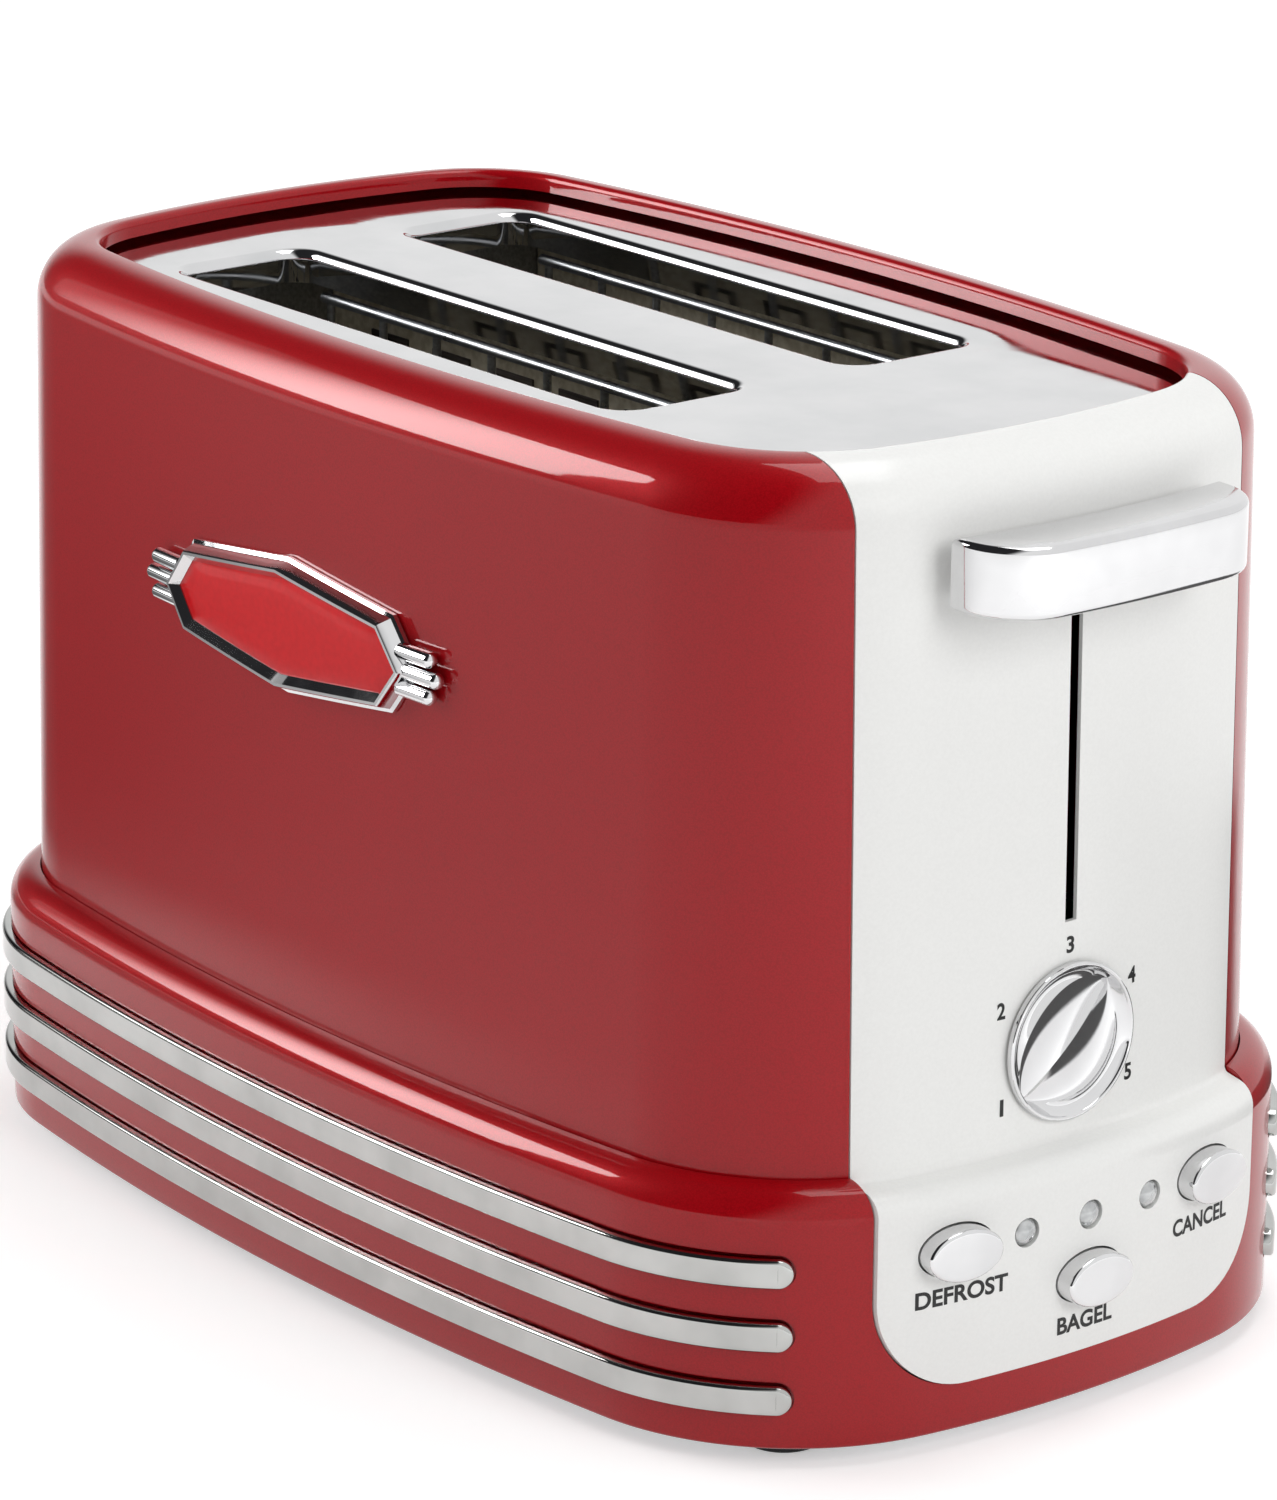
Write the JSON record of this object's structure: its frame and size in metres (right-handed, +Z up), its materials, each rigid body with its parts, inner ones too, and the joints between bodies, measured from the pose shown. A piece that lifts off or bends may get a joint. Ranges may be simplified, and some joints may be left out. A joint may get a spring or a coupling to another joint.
{
  "type": "toaster",
  "caption": "Retro pop-up toaster with a rounded metal shell on a banded skirt, long bread slots, side lever, browning dial, push buttons and crumb tray.",
  "frame": {"origin": "centre of the part's box, on the table under the feet", "axes": "+X out of the control panel end, +Y to the right-hand side seen from the panel, +Z up"},
  "size_m": [0.3074, 0.1818, 0.1986],
  "materials": {
    "red_paint": "glossy metallic lacquer",
    "white_plastic": "gloss",
    "chrome_plate": "polished",
    "chrome_trim": "polished",
    "red_enamel": "glossy",
    "black_plastic": "satin",
    "rubber": "matt",
    "sheet_steel": "satin",
    "steel_wire": "satin",
    "mica": "pearly",
    "heating_ribbon": "oxidised",
    "copper_winding": "satin",
    "ivory_plastic": "satin",
    "board_laminate": "satin",
    "clear_lens": "glossy"
  },
  "bodies": {
    "body": {"upper_housing": "red_paint", "base_skirt": "red_paint", "control_panel": "white_plastic", "top_plate": "chrome_plate", "upper_band": "chrome_trim", "middle_band": "chrome_trim", "lower_band": "chrome_trim", "badge_frame": "chrome_trim", "badge_bars": "chrome_trim", "badge_enamel": "red_enamel", "potentiometer": "black_plastic", "button_switches": "black_plastic", "rubber_feet": "rubber", "cord_gland": "rubber", "base_plate": "sheet_steel", "front_end_plate": "sheet_steel", "rear_end_plate": "sheet_steel", "near_reflector": "sheet_steel", "far_reflector": "sheet_steel", "rod_bracket": "sheet_steel", "magnet_bracket": "sheet_steel", "board_bracket": "sheet_steel", "guide_rod": "steel_wire", "return_spring": "steel_wire", "magnet_core": "steel_wire", "base_screws": "steel_wire", "board_screws": "steel_wire", "near_heater_board": "mica", "center_heater_board": "mica", "far_heater_board": "mica", "near_heater_ribbon": "heating_ribbon", "center_heater_ribbons": "heating_ribbon", "far_heater_ribbon": "heating_ribbon", "magnet_coil": "copper_winding", "terminal_block": "ivory_plastic", "control_board": "board_laminate", "indicator_lenses": "clear_lens"},
    "carriage": {"lever_handle": "chrome_trim", "lever_arm": "sheet_steel", "carriage_bracket": "sheet_steel", "slide_bush": "ivory_plastic", "latch_plate": "sheet_steel", "near_lifter": "sheet_steel", "far_lifter": "sheet_steel"},
    "knob": {"browning_knob": "chrome_trim", "potentiometer_shaft": "steel_wire"},
    "defrost": {"defrost_button": "chrome_trim"},
    "bagel": {"bagel_button": "chrome_trim"},
    "cancel": {"cancel_button": "chrome_trim"},
    "tray": {"crumb_tray": "sheet_steel", "tray_grip": "red_paint"},
    "near_outer_guide": {"near_outer_guide": "steel_wire"},
    "near_inner_guide": {"near_inner_guide": "steel_wire"},
    "far_inner_guide": {"far_inner_guide": "steel_wire"},
    "far_outer_guide": {"far_outer_guide": "steel_wire"}
  },
  "joints": [
    {"name": "lever_slide", "type": "slide", "parent": "body", "child": "carriage", "axis": [0, 0, 1], "range_m": [-0.07, 0], "stiffness_N_per_m": 60, "springref_m": 0.08, "deforming": ["return_spring"]},
    {"name": "near_outer_guide_tilt", "type": "hinge", "parent": "body", "child": "near_outer_guide", "pos_m": [-0.02479, -0.0478, 0.052], "axis": [1, 0, 0], "range_deg": [-4.7, 0]},
    {"name": "near_inner_guide_tilt", "type": "hinge", "parent": "body", "child": "near_inner_guide", "pos_m": [-0.02479, -0.0122, 0.052], "axis": [1, 0, 0], "range_deg": [0, 4.7]},
    {"name": "far_inner_guide_tilt", "type": "hinge", "parent": "body", "child": "far_inner_guide", "pos_m": [-0.02479, 0.0122, 0.052], "axis": [1, 0, 0], "range_deg": [-4.7, 0]},
    {"name": "far_outer_guide_tilt", "type": "hinge", "parent": "body", "child": "far_outer_guide", "pos_m": [-0.02479, 0.0478, 0.052], "axis": [1, 0, 0], "range_deg": [0, 4.7]},
    {"name": "knob_turn", "type": "hinge", "parent": "body", "child": "knob", "pos_m": [0.13498, 0, 0.0764], "axis": [1, 0, 0], "range_deg": [-75, 170]},
    {"name": "defrost_press", "type": "slide", "parent": "body", "child": "defrost", "axis": [0.9897, -0.1432, 0], "range_m": [-0.0015, 0], "stiffness_N_per_m": 800, "springref_m": 0.001},
    {"name": "bagel_press", "type": "slide", "parent": "body", "child": "bagel", "axis": [1, 0, 0], "range_m": [-0.0015, 0], "stiffness_N_per_m": 800, "springref_m": 0.001},
    {"name": "cancel_press", "type": "slide", "parent": "body", "child": "cancel", "axis": [0.9897, 0.1432, 0], "range_m": [-0.0015, 0], "stiffness_N_per_m": 800, "springref_m": 0.001},
    {"name": "tray_slide", "type": "slide", "parent": "body", "child": "tray", "axis": [-1, 0, 0], "range_m": [0, 0.19]}
  ],
  "couplings": [
    {"joint": "near_outer_guide_tilt", "follows": "lever_slide", "rad_per_m": 1.122},
    {"joint": "near_inner_guide_tilt", "follows": "lever_slide", "rad_per_m": -1.122},
    {"joint": "far_inner_guide_tilt", "follows": "lever_slide", "rad_per_m": 1.122},
    {"joint": "far_outer_guide_tilt", "follows": "lever_slide", "rad_per_m": -1.122}
  ]
}
